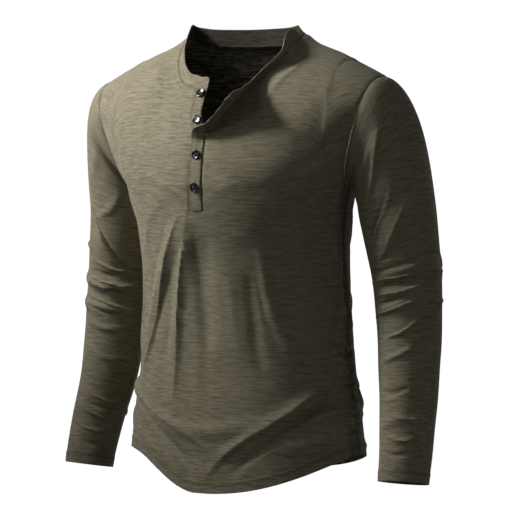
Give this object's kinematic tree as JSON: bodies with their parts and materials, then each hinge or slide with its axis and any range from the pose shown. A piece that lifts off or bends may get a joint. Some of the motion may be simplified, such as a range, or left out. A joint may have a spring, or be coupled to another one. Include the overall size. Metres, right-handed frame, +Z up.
{
  "type": "henley shirt",
  "caption": "Long-sleeved henley shirt in slub jersey with a stand neckband, an open button placket and a curved hem, in the filled-out shape it has when worn.",
  "frame": {"origin": "midway between the wearer's shoulders, at the height of the sides of the neck, where the shoulders carry the shirt", "axes": "+Z up, +X towards the wearer's left, the front of the shirt faces -Y"},
  "size_m": [0.6175, 0.2703, 0.6741],
  "materials": {
    "jersey": "matt slub jersey, light olive grey",
    "button": "glossy black"
  },
  "bodies": {
    "root": {"front": "jersey", "back": "jersey", "sleeve_left": "jersey", "sleeve_right": "jersey", "neckband": "jersey", "placket_over": "jersey", "placket_under": "jersey", "button_1": "button", "button_2": "button", "button_3": "button", "button_4": "button"}
  },
  "joints": []
}
